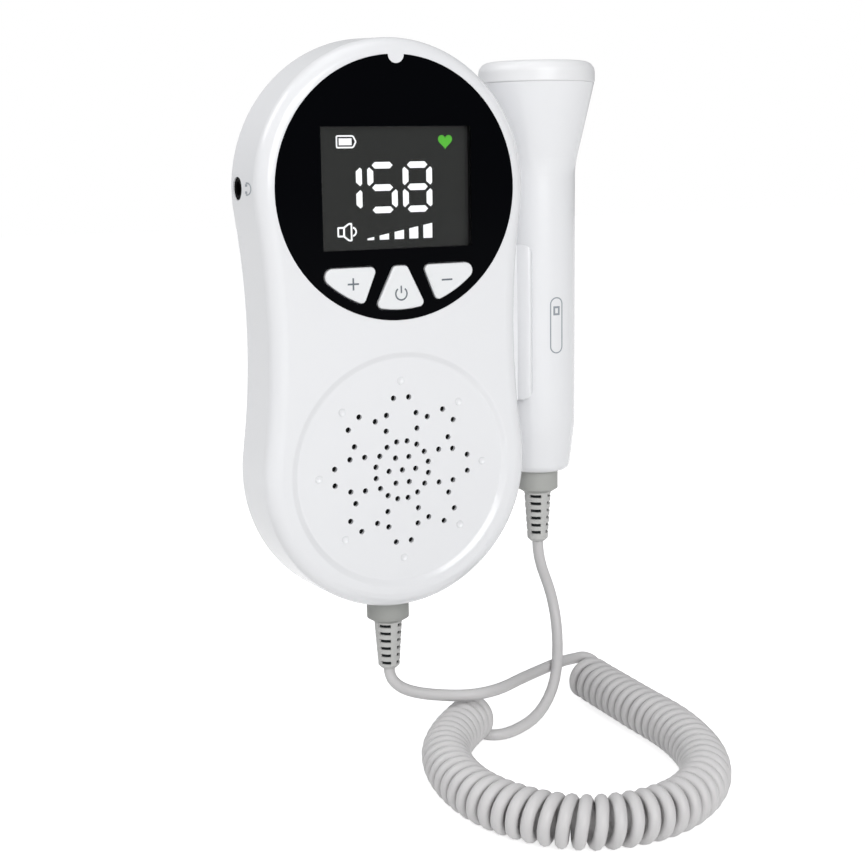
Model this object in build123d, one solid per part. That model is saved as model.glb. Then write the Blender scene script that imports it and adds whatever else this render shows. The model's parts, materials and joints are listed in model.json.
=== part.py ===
from build123d import *
from math import asin, atan2, cos, degrees, hypot, pi, radians, sin, sqrt, tan
import os

# Handheld ultrasound heart-rate monitor: a two-lobed display unit with a probe standing in a
# clip at its side, joined by one curly cord. Millimetres.
# Origin: middle of the flat back, level with the centre of the round display lens.
# +Z up, +X to the probe's side, the display faces -Y. Depth is counted from the front face.

# ---- Battery cells ----
cell_radius = 7.25
cell_length = 50.5
cell_gap = 0.15

# ---- Housing ----
lobe_radius = 38.5
lobe_spacing = 72.9
waist_pinch = 2.7
stack_depth = 12.5
bay_wall = 1.4
bay_play = 0.6
cover_thickness = 2.0
rear_depth = 11.0
widest_depth = 17.6
wall = 2.2
face_wall = 3.0
draft = 3.0
back_slope = 20.0
front_edge_radius = 4.0
back_edge_radius = 7.0
lip_height = 1.5
lip_thickness = 1.0
fit_gap = 0.1

# ---- Display and lens ----
face_rim = 5.1
lens_thickness = 1.9
lens_gap = 0.1
notch_radius = 2.3
window_inset = 13.4
window_aspect = 0.755
window_rise = 0.3
lcd_border = 2.0
lcd_thickness = 2.0
backlight_thickness = 3.4
frame_wall = 1.2

# ---- Keys ----
key_top = 19.4
key_arc_inset = 2.7
power_top_half = 1.9
power_slope = 0.5
side_key_inner = 6.4
side_key_slope = 0.41
key_corner_radius = 1.3
key_tip_radius = 2.1
key_edge_radius = 0.5
key_proud = 0.6
key_gap = 0.3
key_flange = 0.7
key_flange_thickness = 1.0
key_stem_radius = 1.6
key_travel = 0.5

# ---- Main board, switches and headphone jack ----
board_depth = 9.0
board_thickness = 1.6
board_inset = 7.8
board_tail_half = 19.0
board_tail_drop = 49.0
chip_height = 1.2
chip_sizes = ((2.0, 6.0, 12.0, 12.0), (12.0, -16.0, 8.0, 6.0), (-6.0, -30.0, 6.0, 8.0))
switch_size = 6.0
switch_height = 3.0
plunger_radius = 1.6
plunger_height = 1.0
standoff_radius = 2.2
standoff_edge = 2.5
standoff_angle = 20.0
standoff_tail_inset = 4.0
standoff_tail_rise = 6.0
board_screw_radius = 0.8
board_screw_length = 6.0
jack_body_depth = 6.4
jack_rise = 0.8
jack_bore_radius = 1.8
jack_bore_length = 14.0
jack_body_length = 15.6
jack_body_height = 9.0
jack_mouth_inset = 0.5
jack_body_inset = 3.3
jack_hole_radius = 2.95

# ---- Speaker and its dish ----
dish_inset = 7.1
dish_rise = -0.3
dish_depth = 0.8
dish_run = 1.6
dish_edge_radius = 1.2
ring_pitch = 3.89
grille_hole_radius = 0.75
grille_thickness = 1.0
cloth_thickness = 0.3
dimple_radius = 1.05
dimple_depth = 0.45
dimple_ring = 23.8
petal_half_angle = 6.5
speaker_radius = 22.5
speaker_back_gap = 0.9
speaker_rim = 2.0
gasket_thickness = 0.8
cone_thickness = 0.4
cone_dome = 1.6
basket_wall = 0.8
magnet_radius = 9.0
magnet_height = 2.8

# ---- Battery bay and cover ----
bay_foot_room = 11.3
contact_room = 2.8
contact_thickness = 0.4
contact_width = 9.0
nub_radius = 2.7
nub_length = 1.0
cover_half = 22.0
cover_overlap = 4.6
cover_rim_height = 3.0
cover_gap = 0.15
cover_seat_thickness = 1.5
rail_reach = 1.2
rail_thickness = 0.8
grip_half = 9.0
grip_height = 5.0
grip_depth = 0.7

# ---- Screws ----
upper_screw_inset = 6.7
upper_screw_angle = 45.0
lower_screw_inset = 8.4
lower_screw_angle = -18.0
case_screw_radius = 1.05
case_screw_length = 14.0
screw_head_radius = 2.2
screw_head_height = 1.4
boss_radius = 3.0
post_radius = 3.7
counterbore_radius = 2.5
counterbore_depth = 6.0
screw_clearance = 0.1

# ---- Strain reliefs and cord ----
relief_depth = 12.0
relief_neck_radius = 4.0
relief_flange_radius = 5.4
relief_flange_thickness = 1.5
collar_radius = 5.8
collar_chamfer = 1.2
boot_top_radius = 3.85
boot_end_radius = 2.95
boot_end_chamfer = 0.8
unit_collar_length = 6.0
unit_boot_length = 13.5
probe_collar_length = 6.9
probe_boot_length = 14.5
slot_rows = 6
slot_pitch = 2.14
slot_start = 0.9
slot_height = 0.9
slot_half_angle = 29.0
slot_core_radius = 1.8
slot_turn = 48.0
cord_radius = 1.5
coil_radius = 6.5
arc_share = 0.45

# ---- Probe and its holder ----
probe_gap = 0.5
probe_depth = 15.0
shaft_radius = 10.6
head_radius = 15.8
seam_height = 27.2
flare_foot = 4.8
taper_top = -67.0
foot_radius = 9.0
foot_height = -80.4
foot_corner = 2.0
flare_bend = 22.0
taper_bend = 30.0
probe_wall = 1.8
cap_radius = 15.95
cap_height = 5.7
cap_edge_radius = 3.0
cap_skirt = 4.0
cap_skirt_thickness = 1.2
crystal_radius = 11.0
crystal_thickness = 1.0
crystal_gap = 1.0
backing_thickness = 3.0
probe_board_width = 12.0
probe_board_length = 62.0
holder_gap = 0.3
jaw_thickness = 2.2
jaw_half_angle = 53.0
jaw_tip_radius = 0.9
jaw_corner_radius = 1.6
holder_top = -15.9
holder_bottom = -58.7
web_front_depth = 7.0
web_back_depth = 23.5

# ---- Sizes that follow from the ones above ----
unit_depth = stack_depth + bay_wall + 2 * cell_radius + bay_play + cover_thickness
parting_depth = unit_depth - rear_depth
lip_inset = wall + (parting_depth - widest_depth) * tan(radians(back_slope))
waist_half = lobe_radius - waist_pinch
lens_radius = lobe_radius - face_rim
key_arc_radius = lens_radius - key_arc_inset
window_width = 2 * (lens_radius - window_inset)
window_height = window_aspect * window_width
board_radius = lobe_radius - board_inset
dish_radius = lobe_radius - dish_inset
dish_drop = lobe_spacing - dish_rise
foot_drop = lobe_spacing + lobe_radius
probe_x = lobe_radius + probe_gap + shaft_radius
grille_back = dish_depth + grille_thickness
speaker_depth = stack_depth - grille_back - speaker_back_gap
jack_depth = board_depth + board_thickness + jack_body_depth / 2
bay_bottom_drop = foot_drop - bay_foot_room
bay_top_drop = bay_bottom_drop - cell_length - 2 * contact_room
bay_half = 2 * cell_radius + 2 * cell_gap
cover_top_drop = bay_top_drop - cover_overlap
cell_axis_depth = stack_depth + bay_wall + cell_gap + cell_radius
cell_top_drop = bay_top_drop + contact_room
case_screw_seat = unit_depth - counterbore_depth


def on_ring(radius, angle, centre_z=0.0):
    """Place on a circle about the middle plane, the angle counted from +X towards +Z."""
    return radius * cos(radians(angle)), centre_z + radius * sin(radians(angle))


case_screw_places = (on_ring(lobe_radius - upper_screw_inset, upper_screw_angle),
                     on_ring(lobe_radius - lower_screw_inset, lower_screw_angle, -lobe_spacing))
standoff_places = (on_ring(board_radius - standoff_edge, -standoff_angle),
                   (board_tail_half - standoff_tail_inset, standoff_tail_rise - board_tail_drop))
half_spacing = lobe_spacing / 2
waist_radius = (waist_half**2 + half_spacing**2 - lobe_radius**2) / (2 * (lobe_radius - waist_half))
waist_angle = atan2(half_spacing, waist_half + waist_radius)


def slab(sketch, near, far, taper=0.0):
    """Face-on sketch made solid between two depths behind the front face."""
    back = Plane(origin=(0, far - unit_depth, 0), x_dir=(1, 0, 0), z_dir=(0, -1, 0))
    return extrude(back * sketch, far - near, taper=taper)


def disc(x, z, radius, near, far):
    """Round bar along the depth."""
    return slab(Pos(x, z) * Circle(radius), near, far)


def both_sides(places):
    """Each place and its mirror image across the middle plane."""
    return [(side * x, z) for x, z in places for side in (-1, 1)]


def outline(grow=0.0):
    """Two round lobes joined by tangent hollow waists, grown or shrunk all round."""
    radius = lobe_radius + grow
    side_x = radius * cos(waist_angle)
    side_z = radius * sin(waist_angle)
    low_z = -lobe_spacing + side_z
    waist = waist_half + grow
    with BuildSketch() as sketch:
        with BuildLine():
            ThreePointArc((side_x, -side_z), (0, radius), (-side_x, -side_z))
            ThreePointArc((-side_x, -side_z), (-waist, -half_spacing), (-side_x, low_z))
            ThreePointArc((-side_x, low_z), (0, -lobe_spacing - radius), (side_x, low_z))
            ThreePointArc((side_x, low_z), (waist, -half_spacing), (side_x, -side_z))
        make_face()
    return sketch.sketch


def tapered_back(inset, far):
    """Outline narrowing from the widest line towards the back."""
    widest = Plane(origin=(0, widest_depth - unit_depth, 0), x_dir=(-1, 0, 0), z_dir=(0, 1, 0))
    return extrude(widest * outline(-inset), far - widest_depth, taper=back_slope)


def front_block(inset=0.0, face_inset=0.0):
    """Solid front half of the housing, inset at its sides and face."""
    block = slab(outline(-inset), face_inset, widest_depth, taper=draft)
    face = block.faces().sort_by(Axis.Y)[0]
    block = fillet(face.edges(), front_edge_radius - inset)
    return block + (tapered_back(inset, unit_depth) - slab(outline(), parting_depth, unit_depth))


def rear_block(inset=0.0):
    """Solid rear half of the housing, inset all round."""
    block = tapered_back(inset, unit_depth - inset) - slab(outline(), 0, parting_depth)
    face = block.faces().sort_by(Axis.Y)[-1]
    return fillet(face.edges(), back_edge_radius - inset)


def key_outline(name):
    """Outline of one key inside the arc that runs along the lens edge."""
    low = -key_arc_radius - 1
    if name == "power":
        spread = power_top_half + power_slope * (-key_top - low)
        corners = ((-power_top_half, -key_top), (power_top_half, -key_top), (spread, low), (-spread, low))
        shape = Circle(key_arc_radius) & make_face(Polyline(*corners, close=True))
        return fillet(shape.vertices(), key_corner_radius)
    side = 1 if name == "minus" else -1
    spread = side_key_inner + side_key_slope * (-key_top - low)
    far = key_arc_radius + 1
    corners = ((side * far, -key_top), (side * side_key_inner, -key_top), (side * spread, low), (side * far, low))
    shape = Circle(key_arc_radius) & make_face(Polyline(*corners, close=True))
    corners = sorted(shape.vertices(), key=lambda v: side * v.X)
    shape = fillet(corners[-1], key_tip_radius)
    kept = [Vector(v) for v in corners[:-1]]
    sharp = [v for v in shape.vertices() if any((Vector(v) - at).length < 0.01 for at in kept)]
    return fillet(sharp, key_corner_radius)


def key_centre(name):
    """Where the stem and the switch of a key stand."""
    centre = key_outline(name).center(CenterOf.MASS)
    return centre.X, centre.Y


key_names = ("plus", "power", "minus")
switch_front = board_depth - switch_height


def key(name):
    """Key cap with its retaining flange and the stem that meets the switch."""
    inner = face_wall + fit_gap
    cap = slab(key_outline(name), -key_proud, inner)
    cap = fillet(cap.faces().sort_by(Axis.Y)[0].edges(), key_edge_radius)
    flange = slab(offset(key_outline(name), key_flange), inner, inner + key_flange_thickness)
    x, z = key_centre(name)
    stem = disc(x, z, key_stem_radius, inner, switch_front - plunger_height)
    return cap + flange + stem


def plunger(name):
    """Button of the tact switch under a key."""
    x, z = key_centre(name)
    return disc(x, z, plunger_radius, switch_front - plunger_height, switch_front + fit_gap)


def tact_switches():
    """Three square switch bodies, each with the well its button sinks into."""
    bodies = Part()
    for name in key_names:
        x, z = key_centre(name)
        body = slab(Pos(x, z) * Rectangle(switch_size, switch_size), switch_front, board_depth)
        well_end = switch_front + key_travel + 3 * fit_gap
        bodies += body - disc(x, z, plunger_radius + fit_gap, switch_front, well_end)
    return bodies


def lens_outline(grow=0.0):
    """Round lens with the half-round notch that keys it at the top."""
    return Circle(lens_radius + grow) - Pos(0, lens_radius) * Circle(notch_radius - grow)


def display_lens():
    """Black lens with its three key holes."""
    shape = lens_outline()
    for name in key_names:
        shape -= offset(key_outline(name), key_gap)
    return slab(shape, 0, lens_thickness)


def lcd_outline(grow=0.0):
    """Glass of the display, a border wider than the visible window."""
    width = window_width + 2 * (lcd_border + grow)
    return Pos(0, window_rise) * Rectangle(width, window_height + 2 * (lcd_border + grow))


lcd_front = lens_thickness + fit_gap
backlight_front = lcd_front + lcd_thickness


def grille_spots():
    """Centres of the speaker holes: two full rings, then an eight-petalled star."""
    spots = [(0, 0)]
    spots += [(ring_pitch, 30 + 60 * k) for k in range(6)]
    spots += [(2 * ring_pitch, 22.5 * k + 11.25) for k in range(16)]
    for k in range(8):
        valley = 22.5 + 45 * k
        spots.append((3 * ring_pitch, valley))
        for side in (-petal_half_angle, petal_half_angle):
            spots.append((4 * ring_pitch, valley + side))
            spots.append((5 * ring_pitch, 45 * k + side))
    return spots


def dish_holes(spots, radius, near, far):
    """Round holes at polar places about the dish centre, angles from straight up."""
    circles = Sketch()
    for distance, angle in spots:
        x = distance * sin(radians(angle))
        z = distance * cos(radians(angle)) - dish_drop
        circles += Pos(x, z) * Circle(radius)
    return slab(circles, near, far)


def relief_slot(grow=0.0):
    """Slot in the lower wall, open to the seam, that the relief's neck drops into."""
    half = relief_neck_radius + grow
    length = parting_depth - relief_depth
    run = Box(2 * half, length, 4 * wall, align=(Align.CENTER, Align.MIN, Align.CENTER))
    centre = Pos(0, relief_depth - unit_depth, -foot_drop)
    return centre * (run + Cylinder(half, 4 * wall))


def jack_bar(radius, start, length):
    """Round bar along -X through the headphone jack's axis, from a distance inside the side wall."""
    centre = Pos(-lobe_radius + start + length / 2, jack_depth - unit_depth, jack_rise)
    return centre * Rot(0, 90, 0) * Cylinder(radius, length)


def front_shell():
    """Front half of the housing with the lens seat, key holes and speaker dish."""
    shell = front_block() - front_block(wall, face_wall)
    for x, z in both_sides(case_screw_places):
        shell += disc(x, z, boss_radius, face_wall - fit_gap, parting_depth)
        pilot = case_screw_seat - case_screw_length - counterbore_radius / 2
        shell -= disc(x, z, case_screw_radius + fit_gap / 2, pilot, parting_depth)
    for x, z in both_sides(standoff_places):
        post = disc(x, z, standoff_radius, face_wall - fit_gap, board_depth)
        shell += post - disc(x, z, board_screw_radius + fit_gap / 2, face_wall + fit_gap, board_depth)
    rib_end = face_wall + speaker_rim / 2
    shell += (disc(0, -dish_drop, speaker_radius + fit_gap + 1, face_wall - fit_gap, rib_end)
              - disc(0, -dish_drop, speaker_radius + fit_gap, face_wall - fit_gap, rib_end))
    shell -= slab(lens_outline(lens_gap), 0, lens_thickness)
    shell -= slab(lcd_outline(2 * fit_gap), lens_thickness, face_wall)
    for name in key_names:
        shell -= slab(offset(key_outline(name), key_gap), lens_thickness, face_wall)
    shell -= turned_on_speaker([(0, 0), (dish_radius, 0), (dish_radius - dish_run, dish_depth), (0, dish_depth)])
    rims = shell.edges().filter_by(GeomType.CIRCLE)
    dish_rims = [e for e in rims if min(abs(e.radius - dish_radius), abs(e.radius - dish_radius + dish_run)) < 0.01]
    shell = fillet(dish_rims, dish_edge_radius)
    shell -= disc(0, -dish_drop, speaker_radius + fit_gap, grille_back, face_wall)
    shell -= dish_holes(grille_spots(), grille_hole_radius, dish_depth, grille_back)
    dimples = [(dimple_ring, 45 * k) for k in range(8)]
    shell -= dish_holes(dimples, dimple_radius, dish_depth, dish_depth + dimple_depth)
    shell -= jack_bar(jack_hole_radius, -1, 1 + wall + 1)
    shell -= relief_slot(fit_gap)
    rebate = outline(lip_thickness + fit_gap - lip_inset)
    return shell - slab(rebate, parting_depth - lip_height - fit_gap, parting_depth)


def cover_zone(gap=0.0):
    """Region of the rear half that belongs to the battery cover, less a gap on every open side."""
    top = -cover_top_drop - gap
    bottom = -foot_drop - 1
    rim = parting_depth + cover_rim_height + gap
    region = Pos(0, (top + bottom) / 2) * Rectangle(2 * (cover_half - gap), top - bottom)
    return slab(region, rim, unit_depth + 1)


def rail(grow=0.0, top_gap=0.0, bottom=None):
    """Straight tongue on each long side of the cover, or the groove it runs in."""
    top = -cover_top_drop - 2 - top_gap
    low = bottom if bottom is not None else -lobe_spacing - lobe_radius * 0.45
    half = cover_half + rail_reach + grow
    near = unit_depth - cover_thickness - grow
    region = Pos(0, (top + low) / 2) * Rectangle(2 * half, top - low)
    return slab(region, near, near + rail_thickness + 2 * grow)


def battery_cover():
    """Sliding cover: a patch of the housing's own skin with a rail along each side."""
    skin = rear_block() - rear_block(cover_thickness)
    cover = (skin & cover_zone(cover_gap)) + rail()
    grip_z = -cover_top_drop - grip_height - 4
    for k in range(3):
        groove = Pos(0, grip_z + (k - 1) * grip_height / 2) * SlotOverall(2 * grip_half, grip_height / 4)
        cover -= slab(groove, unit_depth - grip_depth, unit_depth + 1)
    return cover


def rear_shell():
    """Rear half of the housing with the battery bay, screw posts and the cover's seat."""
    cavity = rear_block(wall)
    seat_inset = cover_thickness + fit_gap
    seat = rear_block(seat_inset) - rear_block(seat_inset + cover_seat_thickness)
    rear_space = rear_block(seat_inset) + slab(outline(-seat_inset), 0, parting_depth)
    zone = cover_zone()
    shell = rear_block() - cavity - zone
    margin = Rectangle(2 * cover_half + 2 * rail_reach + 2.4, foot_drop)
    under = Pos(0, -cover_top_drop + 2 - foot_drop / 2) * margin
    shell += seat & slab(under, parting_depth + fit_gap, unit_depth)
    ring = outline(lip_thickness - lip_inset) - outline(-lip_inset)
    shell += slab(ring, parting_depth - lip_height, parting_depth + 1)
    middle = -(bay_top_drop + bay_bottom_drop) / 2
    length = bay_bottom_drop - bay_top_drop
    box = Pos(0, middle) * Rectangle(2 * (bay_half + bay_wall), length + 2 * bay_wall)
    bay = Pos(0, middle) * Rectangle(2 * bay_half, length)
    shell += slab(box, stack_depth, unit_depth - seat_inset) & rear_space
    shell -= slab(bay, stack_depth + bay_wall, unit_depth)
    solid_back = rear_block()
    for x, z in both_sides(case_screw_places):
        shell += disc(x, z, post_radius, parting_depth, unit_depth - wall) & solid_back
        shell -= disc(x, z, counterbore_radius, case_screw_seat, unit_depth)
        shell -= disc(x, z, case_screw_radius + screw_clearance, parting_depth, unit_depth)
    shell -= rail(fit_gap, -fit_gap, -foot_drop - 1)
    front_skin = front_block() - front_block(wall, face_wall)
    neck_end = relief_depth + relief_neck_radius + fit_gap
    tongue = relief_slot(-fit_gap) & front_skin
    tongue -= Pos(0, relief_depth - unit_depth, -foot_drop) * Cylinder(
        relief_neck_radius + fit_gap, 6 * wall)
    tongue -= slab(outline(), 0, neck_end - relief_neck_radius)
    return shell + tongue


def lcd_panel():
    """Glass cell of the display."""
    return slab(lcd_outline(), lcd_front, backlight_front)


def lcd_backlight():
    """Light guide behind the cell."""
    return slab(lcd_outline(), backlight_front, backlight_front + backlight_thickness)


def display_frame():
    """Open frame that carries the cell and the light guide against the front shell."""
    ring = lcd_outline(fit_gap + frame_wall) - lcd_outline(2 * fit_gap)
    frame = slab(ring, face_wall, board_depth)
    ledge_front = backlight_front + backlight_thickness
    ledge = lcd_outline(fit_gap + frame_wall) - lcd_outline(-lcd_border)
    return frame + slab(ledge, ledge_front, ledge_front + frame_wall)


def board_outline():
    """Board that fills the upper lobe, with a tail down to the speaker."""
    tail = Pos(0, -board_tail_drop / 2) * Rectangle(2 * board_tail_half, board_tail_drop)
    shape = Circle(board_radius) + tail
    for x, z in both_sides(case_screw_places):
        shape -= Pos(x, z) * Circle(post_radius + 3 * fit_gap)
    return shape


def main_board():
    """Circuit board on four standoffs."""
    board = slab(board_outline(), board_depth, board_depth + board_thickness)
    for x, z in both_sides(standoff_places):
        board -= disc(x, z, board_screw_radius + fit_gap, board_depth, board_depth + board_thickness)
    return board


def board_chips():
    """Three chip packages on the back of the board."""
    near = board_depth + board_thickness
    chips = Part()
    for x, z, width, height in chip_sizes:
        chips += slab(Pos(x, z) * Rectangle(width, height), near, near + chip_height)
    return chips


def headphone_jack():
    """Block jack on the board with a round nose behind the hole in the side wall."""
    near = board_depth + board_thickness
    far = 2 * jack_depth - near
    left = -lobe_radius + jack_body_inset
    size = Rectangle(jack_body_length, jack_body_height)
    body = slab(Pos(left + jack_body_length / 2, jack_rise) * size, near, far)
    nose = jack_bar(jack_hole_radius - fit_gap, jack_mouth_inset, jack_body_inset - jack_mouth_inset + 1)
    return body + nose - jack_bar(jack_bore_radius, jack_mouth_inset, jack_bore_length)


def turned_on_speaker(points):
    """Ring turned about the speaker's axis from (radius, depth) corners."""
    corners = [(radius, depth - unit_depth) for radius, depth in points]
    profile = make_face(Polyline(*corners, close=True))
    axis = Axis((0, 0, -dish_drop), (0, 1, 0))
    return revolve(Pos(0, 0, -dish_drop) * profile, axis=axis)


def speaker():
    """Gasket with its dust cloth, basket, cone and magnet of the loudspeaker, front to back."""
    rim = speaker_radius
    hole = rim - speaker_rim
    cloth_back = grille_back + cloth_thickness
    cone_front = grille_back + gasket_thickness
    basket_front = cone_front + cone_thickness
    plate_front = grille_back + speaker_depth - magnet_height - basket_wall
    magnet_front = plate_front + basket_wall
    gasket = turned_on_speaker([(0, grille_back), (rim, grille_back), (rim, cone_front), (hole, cone_front),
                                (hole, cloth_back), (0, cloth_back)])
    foot = magnet_radius - 2
    foot_front = plate_front - 2 * basket_wall
    cone = turned_on_speaker([
        (0, foot_front - cone_dome), (foot * 0.6, foot_front - cone_dome * 0.7), (foot, foot_front),
        (hole - 1, cone_front), (rim, cone_front), (rim, basket_front), (hole - 1, basket_front),
        (foot, foot_front + cone_thickness), (0, foot_front + cone_thickness)])
    basket = turned_on_speaker([
        (hole, basket_front), (rim, basket_front), (rim, basket_front + basket_wall),
        (hole + basket_wall, basket_front + basket_wall), (magnet_radius + basket_wall, magnet_front),
        (2, magnet_front), (2, plate_front), (magnet_radius, plate_front)])
    magnet = disc(0, -dish_drop, magnet_radius, magnet_front, magnet_front + magnet_height)
    return {"speaker_gasket": gasket, "speaker_basket": basket, "speaker_cone": cone, "speaker_magnet": magnet}


def aa_cells():
    """Two AA cells side by side, one each way up, with their button ends."""
    cells = Part()
    for side in (-1, 1):
        x = side * (cell_radius + cell_gap / 2)
        low = -cell_top_drop - cell_length
        body_low = low + (nub_length if side > 0 else 0)
        body = Cylinder(cell_radius, cell_length - nub_length, align=(Align.CENTER, Align.CENTER, Align.MIN))
        nub_low = low if side > 0 else low + cell_length - nub_length
        nub = Cylinder(nub_radius, nub_length, align=(Align.CENTER, Align.CENTER, Align.MIN))
        y = cell_axis_depth - unit_depth
        cells += Pos(x, y, body_low) * body + Pos(x, y, nub_low) * nub
    return cells


def battery_contacts():
    """Flat bridge across the upper ends and a bent leaf spring at each lower end."""
    y = cell_axis_depth - unit_depth
    width = contact_width
    bridge_height = contact_room - 2 * fit_gap
    top = -bay_top_drop
    bridge = Pos(0, y, top - contact_thickness / 2) * Box(2 * cell_radius + width, width, contact_thickness)
    for side in (-1, 1):
        x = side * (cell_radius + cell_gap / 2)
        pad = Box(width * 0.6, width * 0.6, bridge_height - contact_thickness)
        bridge += Pos(x, y, top - (contact_thickness + bridge_height) / 2) * pad
    contacts = Part() + bridge
    reach = contact_room - 2 * fit_gap
    t = contact_thickness
    leaf = make_face(Polyline((0, 0), (width, 0), (width, t), (3 * t, t), (width / 2, reach - t),
                              (width * 0.8, reach - t), (width * 0.8, reach), (width / 2 - t, reach),
                              (0, t), close=True))
    strip = extrude(Plane.YZ * leaf, width)
    for side in (-1, 1):
        x = side * (cell_radius + cell_gap / 2)
        contacts += Pos(x - width / 2, y - width / 2, -bay_bottom_drop) * strip
    return contacts


def case_screws():
    """Four long screws from the back into the front shell's bosses."""
    screws = Part()
    seat = case_screw_seat
    for x, z in both_sides(case_screw_places):
        screws += disc(x, z, screw_head_radius, seat, seat + screw_head_height)
        screws += disc(x, z, case_screw_radius, seat - case_screw_length, seat)
    return screws


def board_screws():
    """Four short screws that hold the board down."""
    screws = Part()
    seat = board_depth + board_thickness
    for x, z in both_sides(standoff_places):
        screws += disc(x, z, standoff_radius - fit_gap, seat, seat + screw_head_height - 0.4)
        screws += disc(x, z, board_screw_radius, seat - board_screw_length, seat)
    return screws


def relief_boot(collar_length, boot_length, collar_rise):
    """Collar and slotted boot hanging below z = 0, the collar standing collar_rise above it."""
    end = -collar_length - boot_length
    corners = ((0, collar_rise), (collar_radius, collar_rise),
               (collar_radius, -collar_length + collar_chamfer),
               (boot_top_radius, -collar_length), (boot_end_radius, end + boot_end_chamfer),
               (boot_end_radius - boot_end_chamfer, end), (0, end))
    boot = revolve(Plane.XZ * make_face(Polyline(*corners, close=True)), axis=Axis.Z)
    far = 2 * boot_top_radius
    spread = far * tan(radians(slot_half_angle))
    wedge = make_face(Polyline((0, 0), (far, -spread), (far, spread), close=True))
    windows = Sketch()
    for column in range(4):
        windows += Rot(0, 0, slot_turn + 90 * column) * (wedge - Circle(slot_core_radius))
    for row in range(slot_rows):
        top = -collar_length - slot_start - row * slot_pitch
        boot -= Pos(0, 0, top - slot_height / 2) * extrude(windows, slot_height)
    return boot


def unit_strain_relief():
    """Relief of the unit: collar outside the lower wall, neck in its slot, flange inside."""
    place = Pos(0, relief_depth - unit_depth, -foot_drop)
    outside = place * relief_boot(unit_collar_length, unit_boot_length, 2 * wall) - front_block()
    inner = front_block(wall, face_wall)
    bar = Cylinder(relief_flange_radius, 4 * wall, align=(Align.CENTER, Align.CENTER, Align.MIN))
    lift = sqrt((lobe_radius - wall)**2 - relief_flange_radius**2) - (lobe_radius - wall)
    flange = place * Pos(0, 0, wall + fit_gap) * bar & inner
    top_cut = place * Pos(0, 0, wall - lift + relief_flange_thickness + fit_gap) * Cylinder(
        2 * relief_flange_radius, 4 * wall, align=(Align.CENTER, Align.CENTER, Align.MIN))
    neck = place * Pos(0, 0, -wall / 2) * Cylinder(relief_neck_radius, 2 * wall, align=(
        Align.CENTER, Align.CENTER, Align.MIN))
    return outside + neck + flange - top_cut


def on_probe(solid):
    """Solid made about the Z axis, moved onto the probe's own axis."""
    return Pos(probe_x, probe_depth - unit_depth, 0) * solid


def turned_on_probe(sketch):
    """Solid turned about the probe's axis from a radius and height sketch."""
    return on_probe(revolve(Plane.XZ * sketch, axis=Axis.Z))


def probe_profile(inset=0.0):
    """Half section of the handle: flared head, straight grip and tapered foot."""
    slope = (head_radius - shaft_radius) / (seam_height - flare_foot)
    lean = inset * sqrt(1 + slope**2)
    floor = foot_height + inset
    corners = ((0, floor), (foot_radius - inset, floor), (shaft_radius - inset, taper_top),
               (shaft_radius - inset, flare_foot + slope * (lean - inset)),
               (head_radius - lean, seam_height), (0, seam_height))
    face = make_face(Polyline(*corners, close=True))
    marks = {corners[1]: max(foot_corner - inset, 0.4), corners[2]: taper_bend, corners[3]: flare_bend}
    for (x, y), radius in marks.items():
        near = [v for v in face.vertices() if hypot(v.X - x, v.Y - y) < 0.01]
        face = fillet(near, radius)
    return face


def probe_handle():
    """Hollow handle with the hole for its strain relief in the foot."""
    shell = turned_on_probe(probe_profile() - probe_profile(probe_wall))
    hole = Cylinder(relief_neck_radius + fit_gap, 3 * probe_wall)
    return shell - on_probe(Pos(0, 0, foot_height + probe_wall / 2) * hole)


def probe_cap():
    """Cap over the flared head, rounded at its edge, with a skirt inside the handle."""
    top = seam_height + cap_height
    face = make_face(Polyline((0, seam_height), (cap_radius, seam_height), (cap_radius, top), (0, top),
                              close=True))
    rim = [v for v in face.vertices() if v.X > 1]
    face = fillet([v for v in rim if v.Y > seam_height + 1], cap_edge_radius)
    face = fillet([v for v in face.vertices() if v.X > 1 and v.Y < seam_height + 0.01], 0.5)
    skirt_outer = head_radius - probe_wall * 1.6 - fit_gap
    skirt = Pos(skirt_outer - cap_skirt_thickness / 2, seam_height - cap_skirt / 2 + 1) * Rectangle(
        cap_skirt_thickness, cap_skirt + 2)
    room = make_face(Polyline((0, seam_height - 1), (skirt_outer - cap_skirt_thickness, seam_height - 1),
                              (skirt_outer - cap_skirt_thickness, top - probe_wall), (0, top - probe_wall),
                              close=True))
    return turned_on_probe(face - room + skirt)


def crystal_stack():
    """Two half-round crystals under the cap and the backing that carries them."""
    top = seam_height + cap_height - probe_wall
    disc_stack = Cylinder(crystal_radius, crystal_thickness, align=(Align.CENTER, Align.CENTER, Align.MAX))
    split = Box(crystal_gap, 4 * crystal_radius, 4 * crystal_thickness)
    crystals = on_probe(Pos(0, 0, top) * (disc_stack - split))
    backing = Cylinder(crystal_radius, backing_thickness, align=(Align.CENTER, Align.CENTER, Align.MAX))
    return crystals, on_probe(Pos(0, 0, top - crystal_thickness) * backing)


def probe_board():
    """Narrow driver board down the grip."""
    board = Box(probe_board_width, board_thickness, probe_board_length, align=(
        Align.CENTER, Align.CENTER, Align.MAX))
    return on_probe(Pos(0, 0, flare_foot) * board)


def probe_strain_relief():
    """Relief of the probe: collar under the foot, neck through it and flange inside."""
    boot = relief_boot(probe_collar_length, probe_boot_length, 0)
    up = (Align.CENTER, Align.CENTER, Align.MIN)
    neck = Cylinder(relief_neck_radius, probe_wall + fit_gap, align=up)
    flange = Pos(0, 0, probe_wall + fit_gap) * Cylinder(relief_flange_radius, relief_flange_thickness, align=up)
    return on_probe(Pos(0, 0, foot_height) * (boot + neck + flange))


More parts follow.
